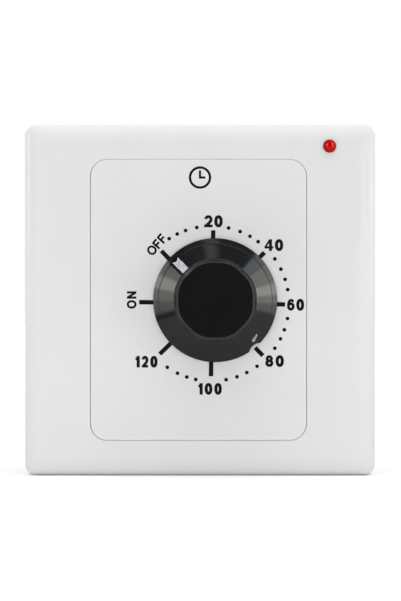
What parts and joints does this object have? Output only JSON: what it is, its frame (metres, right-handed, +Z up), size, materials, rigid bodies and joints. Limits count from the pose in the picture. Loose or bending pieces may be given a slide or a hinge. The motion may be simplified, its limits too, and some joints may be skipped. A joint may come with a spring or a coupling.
{
  "type": "timer light switch",
  "caption": "Square wall switch with a clip-on frame, a dial panel, a skirted pointer knob, a signal lamp and a spring-wound clockwork timer that opens the lighting circuit.",
  "frame": {"origin": "centre of the plate on the wall plane, midway between the two wall screws", "axes": "+X right and +Z up as seen from the front, -Y out of the wall towards the viewer"},
  "size_m": [0.086, 0.0439, 0.086],
  "materials": {
    "white_shell": "gloss",
    "black_gloss": "gloss",
    "black_matt": "matt",
    "white_mark": "satin",
    "red_lens": "gloss",
    "grey_rubber": "matt",
    "steel": "satin",
    "spring_steel": "satin",
    "brass": "satin",
    "bronze": "satin",
    "contact_silver": "satin",
    "phenolic": "satin",
    "nylon": "satin",
    "red_wire": "satin",
    "blue_wire": "satin",
    "resistor_body": "satin"
  },
  "bodies": {
    "base": {"base_panel": "white_shell", "led_lamp": "red_lens", "led_plug": "grey_rubber", "led_legs": "steel", "lead_to_load": "red_wire", "lead_to_resistor": "blue_wire", "led_resistor": "resistor_body", "resistor_wires": "steel", "movement_screws": "steel", "front_plate": "steel", "rear_plate": "steel", "pillars": "brass", "pillar_nuts": "steel", "front_bush": "brass", "rear_bush": "brass", "stop_pin": "steel", "spring_post": "steel", "mainspring": "spring_steel", "hairspring": "spring_steel", "hairspring_stud": "brass", "contact_deck": "phenolic", "line_bracket": "brass", "moving_leaf": "bronze", "leaf_rivets": "steel", "load_bracket": "brass", "contact_buttons": "contact_silver", "terminal_clamps": "brass", "terminal_screws": "steel"},
    "frame": {"outer_frame": "white_shell"},
    "knob": {"knob": "black_gloss", "knob_cap": "black_matt", "pointer_inlay": "white_mark", "knob_spring": "spring_steel", "main_arbor": "steel", "stop_finger": "steel", "spring_collet": "brass", "clutch_plate": "steel", "clutch_spring": "spring_steel", "arbor_collar": "brass", "switch_cam": "nylon", "cam_clip": "spring_steel"},
    "great_wheel": {"great_wheel": "brass"},
    "second": {"second_arbor": "steel", "second_wheel": "brass"},
    "third": {"third_arbor": "steel", "third_wheel": "brass"},
    "escape": {"escape_arbor": "steel", "escape_wheel": "brass"},
    "balance": {"balance_staff": "steel", "balance_wheel": "brass", "pallet_anchor": "steel", "pallet_pins": "steel"}
  },
  "joints": [
    {"name": "knob_turn", "type": "hinge", "parent": "base", "child": "knob", "pos_m": [0.0037, 0, 0], "axis": [0, 1, 0], "range_deg": [-45, 270], "deforming": ["mainspring"]},
    {"name": "frame_snap", "type": "slide", "parent": "base", "child": "frame", "axis": [0, -1, 0], "range_m": [0, 0.03]},
    {"name": "escape_spin", "type": "hinge", "parent": "base", "child": "escape", "pos_m": [-0.01108, 0, 0.00823], "axis": [0, 1, 0], "continuous": true},
    {"name": "third_turn", "type": "hinge", "parent": "base", "child": "third", "pos_m": [-0.0135, 0, -0.00081], "axis": [0, 1, 0], "continuous": true},
    {"name": "second_turn", "type": "hinge", "parent": "base", "child": "second", "pos_m": [-0.0075, 0, -0.0112], "axis": [0, 1, 0], "continuous": true},
    {"name": "great_turn", "type": "hinge", "parent": "base", "child": "great_wheel", "pos_m": [0.0037, 0, 0], "axis": [0, 1, 0], "continuous": true},
    {"name": "balance_swing", "type": "hinge", "parent": "base", "child": "balance", "pos_m": [-0.00978, 0, 0.01562], "axis": [0, 1, 0], "range_deg": [-20, 20], "stiffness_Nm_per_rad": 0.000001, "deforming": ["hairspring"]}
  ],
  "couplings": [
    {"joint": "third_turn", "follows": "escape_spin", "ratio": -0.125},
    {"joint": "second_turn", "follows": "escape_spin", "ratio": 0.013889},
    {"joint": "great_turn", "follows": "escape_spin", "ratio": -0.0013889}
  ]
}
